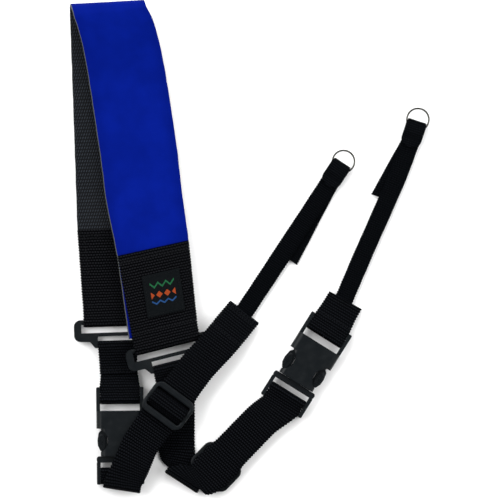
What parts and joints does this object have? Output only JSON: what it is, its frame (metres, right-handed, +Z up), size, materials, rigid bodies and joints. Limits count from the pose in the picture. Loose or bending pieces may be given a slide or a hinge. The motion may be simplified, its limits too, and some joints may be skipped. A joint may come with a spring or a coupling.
{
  "type": "saxophone neck strap",
  "caption": "Neoprene neck pad folded over, with two webbing arms that each have a reducer loop, a side-release buckle, a slider and a narrow strap ending in a ring.",
  "frame": {"origin": "under the middle of the laid-out strap, on the surface it lies on", "axes": "+Z up out of the surface, +Y towards the fold of the neck pad, +X to the right"},
  "size_m": [0.2486, 0.3428, 0.0195],
  "materials": {
    "pad_blue": "neoprene with a smooth knitted face",
    "grip_lining": "dimpled grip",
    "webbing": "woven nylon webbing",
    "label_cloth": "woven patch",
    "black_plastic": "satin moulded",
    "ring_metal": "nickel plated"
  },
  "bodies": {
    "pad": {"neoprene_pad": "pad_blue", "pad_grip_lining": "grip_lining", "back_sleeve": "webbing", "front_sleeve": "webbing", "sleeve_label": "label_cloth", "back_reducer": "black_plastic", "front_reducer": "black_plastic", "back_tether": "webbing", "back_buckle_socket": "black_plastic", "front_strap": "webbing"},
    "front_slider": {"front_slider": "black_plastic", "front_slider_loop": "webbing"},
    "front_plug": {"front_buckle_plug": "black_plastic"},
    "front_prong_left": {"front_prong_left": "black_plastic"},
    "front_prong_right": {"front_prong_right": "black_plastic"},
    "front_socket": {"front_buckle_socket": "black_plastic"},
    "front_upper_strap": {"front_tether": "webbing", "front_narrow_strap": "webbing"},
    "front_ring_loop": {"front_ring_loop": "webbing"},
    "front_ring": {"front_ring": "ring_metal"},
    "back_arm": {"back_buckle_plug": "black_plastic", "back_strap": "webbing", "back_narrow_strap": "webbing"},
    "back_prong_left": {"back_prong_left": "black_plastic"},
    "back_prong_right": {"back_prong_right": "black_plastic"},
    "back_slider": {"back_slider": "black_plastic", "back_slider_loop": "webbing"},
    "back_ring_loop": {"back_ring_loop": "webbing"},
    "back_ring": {"back_ring": "ring_metal"}
  },
  "joints": [
    {"name": "front_slider_travel", "type": "slide", "parent": "pad", "child": "front_slider", "axis": [0.6947, 0.7193, 0], "range_m": [0, 0.028]},
    {"name": "front_plug_swing", "type": "hinge", "parent": "pad", "child": "front_plug", "pos_m": [0.02566, -0.10238, 0.0055], "axis": [0.848, -0.5299, 0], "range_deg": [0, 80]},
    {"name": "front_squeeze_right", "type": "hinge", "parent": "front_plug", "child": "front_prong_right", "pos_m": [0.04053, -0.09764, 0.0055], "axis": [0, 0, 1], "range_deg": [0, 8], "stiffness_Nm_per_rad": 0.5},
    {"name": "front_squeeze_left", "type": "hinge", "parent": "front_plug", "child": "front_prong_left", "pos_m": [0.0234, -0.08694, 0.0055], "axis": [0, 0, 1], "range_deg": [-8, 0], "stiffness_Nm_per_rad": 0.5},
    {"name": "front_buckle_release", "type": "slide", "parent": "front_plug", "child": "front_socket", "axis": [0.5299, 0.848, 0], "range_m": [0, 0.03], "deforming": ["front_prong_left", "front_prong_right"]},
    {"name": "front_tether_swing", "type": "hinge", "parent": "front_socket", "child": "front_upper_strap", "pos_m": [0.05231, -0.05973, 0.0055], "axis": [0.848, -0.5299, 0], "range_deg": [0, 90]},
    {"name": "front_loop_bend", "type": "hinge", "parent": "front_upper_strap", "child": "front_ring_loop", "pos_m": [0.11108, 0.07319, 0.0031], "axis": [0.95, -0.3123, 0], "range_deg": [0, 75]},
    {"name": "front_ring_spin", "type": "hinge", "parent": "front_ring_loop", "child": "front_ring", "pos_m": [0.11604, 0.0883, 0.0024], "axis": [0, 0, 1], "continuous": true},
    {"name": "back_buckle_release", "type": "slide", "parent": "pad", "child": "back_arm", "axis": [0.0105, -0.9999, 0], "range_m": [0, 0.03], "deforming": ["back_prong_left", "back_prong_right"]},
    {"name": "back_squeeze_right", "type": "hinge", "parent": "back_arm", "child": "back_prong_right", "pos_m": [-0.07926, -0.14319, 0.0055], "axis": [0, 0, 1], "range_deg": [0, 8], "stiffness_Nm_per_rad": 0.5},
    {"name": "back_squeeze_left", "type": "hinge", "parent": "back_arm", "child": "back_prong_left", "pos_m": [-0.09946, -0.14341, 0.0055], "axis": [0, 0, 1], "range_deg": [-8, 0], "stiffness_Nm_per_rad": 0.5},
    {"name": "back_slider_travel", "type": "slide", "parent": "back_arm", "child": "back_slider", "axis": [0.5948, 0.8039, 0], "range_m": [0, 0.018]},
    {"name": "back_loop_bend", "type": "hinge", "parent": "back_arm", "child": "back_ring_loop", "pos_m": [0.05589, 0.04603, 0.0031], "axis": [0.8348, -0.5505, 0], "range_deg": [0, 75]},
    {"name": "back_ring_spin", "type": "hinge", "parent": "back_ring_loop", "child": "back_ring", "pos_m": [0.06464, 0.0593, 0.0024], "axis": [0, 0, 1], "continuous": true}
  ],
  "couplings": [
    {"joint": "front_squeeze_left", "follows": "front_squeeze_right", "ratio": -1},
    {"joint": "back_squeeze_left", "follows": "back_squeeze_right", "ratio": -1}
  ]
}
